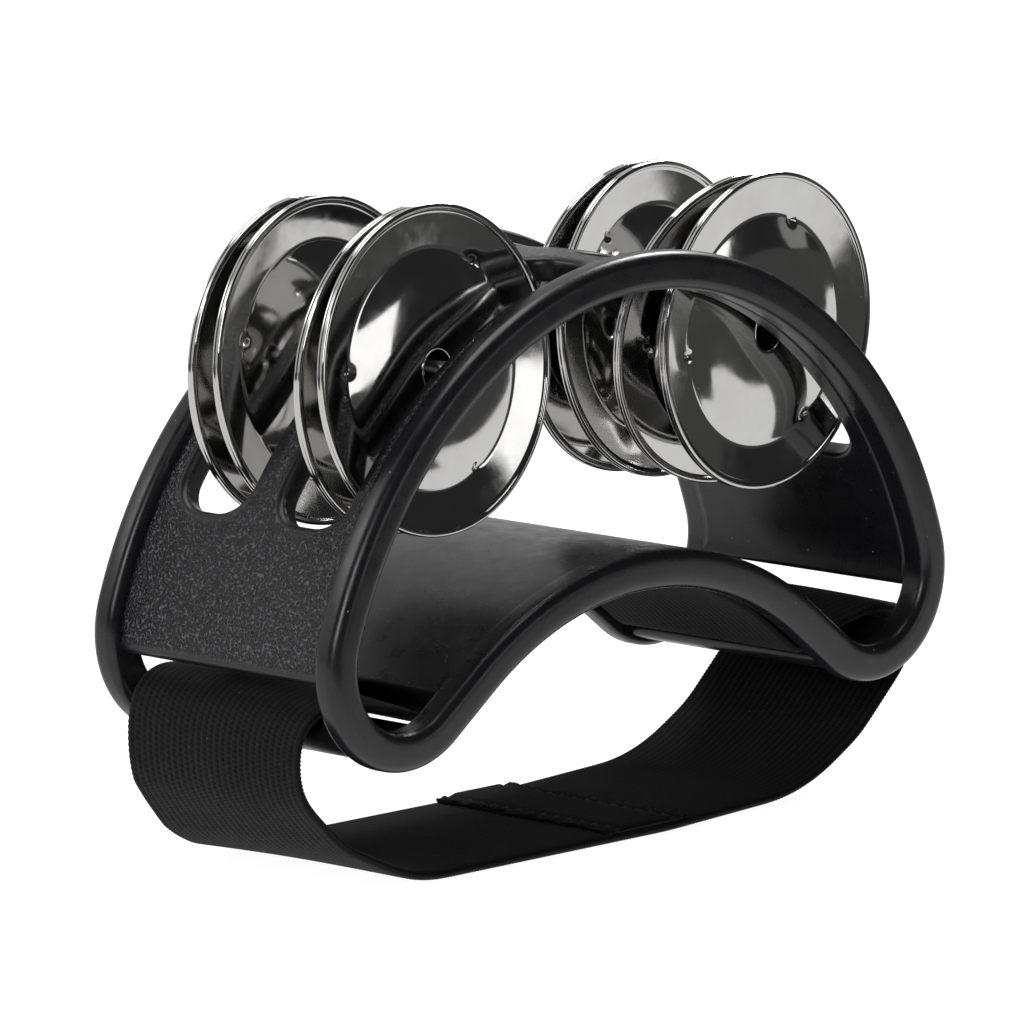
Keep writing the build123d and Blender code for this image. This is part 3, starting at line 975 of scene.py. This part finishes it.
def floor_paint():
    """White paper that glows enough to stay white right across the view."""
    mat, tree, shader, coords = glowing("floor_paint", (0.35, 0.35, 0.35), 0.8, 0.96)
    tone = mix_colour(tree, noise(tree, coords, 2, 2, 0.5), (0.33, 0.33, 0.33), (0.37, 0.37, 0.37))
    tree.links.new(tone, shader.inputs["Base Color"])
    return mat


def paint(obj, mat):
    """Gives a piece its one material."""
    obj.data.materials.clear()
    obj.data.materials.append(mat)


# ---------------------------------------------------------------- the object

smooth_black = plastic("moulding_smooth", False)
grained_black = plastic("moulding_grained", True)
steel = polished_steel()
wire = drawn_steel()
web = cloth("webbing", (0.004, 0.004, 0.0042), (0.032, 0.032, 0.034), 0.8)
thread_black = cloth("thread", (0.012, 0.012, 0.013), (0.035, 0.035, 0.037), 0.7)

for rim_name, side in (("front_rim", -1), ("rear_rim", 1)):
    bead = rim(rim_name, side)
    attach(bead, "frame")
    paint(bead, smooth_black)

wall = outer_wall()
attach(wall, "frame")
paint(wall, grained_black)

for piece in (saddle_wall(), strap_bar("strap_bar_left", -1), strap_bar("strap_bar_right", 1)):
    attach(piece, "frame")
    paint(piece, smooth_black)

for pin_name in ("pin_left", "pin_right"):
    piece = pin(pin_name)
    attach(piece, "frame")
    paint(piece, wire)

for seed, name in enumerate(sorted(n for n in frame["nodes"] if n.startswith("jingle_"))):
    piece = jingle(name, seed)
    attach(piece, name)
    paint(piece, steel)

loop, lap, thread = strap()
paint(loop, web)
paint(lap, web)
paint(thread, thread_black)


# ---------------------------------------------------------------- floor, light and camera

FLOOR_RADIUS, FLOOR_Z, FLOOR_SIDES = 30000, -0.05, 96
FLOOR_EDGE = [
    (FLOOR_RADIUS * cos(a), FLOOR_RADIUS * sin(a), FLOOR_Z)
    for a in np.linspace(0, 2 * pi, FLOOR_SIDES, endpoint=False)
]
floor = make_mesh("floor", FLOOR_EDGE, [tuple(range(FLOOR_SIDES))])
floor.data.materials.append(floor_paint())
floor.visible_glossy = False


def only_reflected(obj, strength):
    """Makes a stage piece glow, and keeps it out of the camera's sight, so that only gloss shows it."""
    obj.data.materials.append(glowing(obj.name + "_glow", (0, 0, 0), 1.0, strength)[0])
    obj.visible_camera = False
    obj.visible_diffuse = False
    obj.visible_shadow = False


CARD_DISTANCE, CARD_MIDDLE_Z = 2500, 76


def card(name, azimuths, elevations, strength):
    """A curved card between two azimuths, from -Y towards +X, and two elevations, about the jingles."""
    rings = []
    for azimuth in np.linspace(*azimuths, 24):
        ring = []
        for elevation in np.linspace(*elevations, 12):
            flat = CARD_DISTANCE * cos(radians(elevation))
            a = radians(azimuth)
            height = CARD_MIDDLE_Z + CARD_DISTANCE * sin(radians(elevation))
            ring.append((flat * sin(a), -flat * cos(a), height))
        rings.append(ring)
    only_reflected(make_mesh(name, *loft(rings, False, closed_round=False)), strength)


card("backdrop", (108, 252), (-30, 62), 0.6)
card("front_card", (14, 38.5), (-14, 7.5), 1.6)
card("side_card", (57, 64), (0.5, 7), 0.25)


def reflected_sheet(name, outline, z, strength):
    """A flat sheet at floor level that only reflections see."""
    obj = make_mesh(name, [(x, y, z) for x, y in outline], [tuple(range(len(outline)))])
    only_reflected(obj, strength)


# The paper's outline, with an uneven front edge that shows in the flanges.
TABLE_PAPER = [
    (-700, -165),
    (140, -165),
    (200, -252),
    (245, -250),
    (264, -213),
    (480, -203),
    (600, -215),
    (780, -280),
    (900, -280),
    (900, 1500),
    (-700, 1500),
]
FAR = 20000
reflected_sheet("table_paper", TABLE_PAPER, -0.1, 0.87)
reflected_sheet("dim_floor", [(-FAR, -FAR), (FAR, -FAR), (FAR, FAR), (-FAR, FAR)], -0.3, 0.065)

MIDDLE = (0, 0, 0.06)


def softbox(name, at, size, power):
    """A rectangular area light aimed at the object's middle, in metres and watts."""
    data = bpy.data.lights.new(name, "AREA")
    data.shape = "RECTANGLE"
    data.size, data.size_y = size
    data.energy = power
    obj = bpy.data.objects.new(name, data)
    obj.location = at
    obj.rotation_euler = (Vector(MIDDLE) - Vector(at)).to_track_quat("-Z", "Y").to_euler()
    obj.visible_camera = False
    bpy.context.scene.collection.objects.link(obj)


softbox("overhead", (0.05, 0.15, 1.1), (0.55, 0.7), 4.2)
softbox("left_back", (-0.75, 0.65, 0.7), (0.45, 0.35), 1.5)
softbox("right_back", (0.85, 0.24, 0.85), (0.4, 0.3), 6.5)
softbox("front_left", (-0.9, -0.5, 0.5), (0.3, 0.5), 3.3)

world = bpy.data.worlds.new("studio")
world.use_nodes = True
background = world.node_tree.nodes["Background"]
background.inputs["Color"].default_value = (0.024, 0.024, 0.025, 1)
background.inputs["Strength"].default_value = 1.0
bpy.context.scene.world = world
bpy.context.scene.view_settings.view_transform = "Standard"

CAMERA_AZIMUTH, CAMERA_ELEVATION, CAMERA_ROLL = radians(-46.92), radians(9.10), radians(0.304)
CAMERA_DISTANCE = 1.20043
AIM_LEFT, AIM_BELOW = 0.00333, 0.042525
LENS, SENSOR = 272.2, 36.0


def camera():
    """The camera, aimed from the crown's top by a small step left and down in its own frame."""
    a, e, roll = CAMERA_AZIMUTH, CAMERA_ELEVATION, CAMERA_ROLL
    ahead = Vector((-sin(a) * cos(e), cos(a) * cos(e), -sin(e)))
    level = Vector((cos(a), sin(a), 0))
    upward = level.cross(ahead)
    right = cos(roll) * level + sin(roll) * upward
    up = cos(roll) * upward - sin(roll) * level
    target = Vector((0, 0, CROWN_TOP_Z * MM)) - right * AIM_LEFT - up * AIM_BELOW
    data = bpy.data.cameras.new("camera")
    data.lens, data.sensor_width = LENS, SENSOR
    data.clip_start, data.clip_end = 0.05, 100
    obj = bpy.data.objects.new("camera", data)
    pose = Matrix((right, up, -ahead)).transposed().to_4x4()
    pose.translation = target - ahead * CAMERA_DISTANCE
    obj.matrix_world = pose
    bpy.context.scene.collection.objects.link(obj)
    bpy.context.scene.camera = obj


camera()
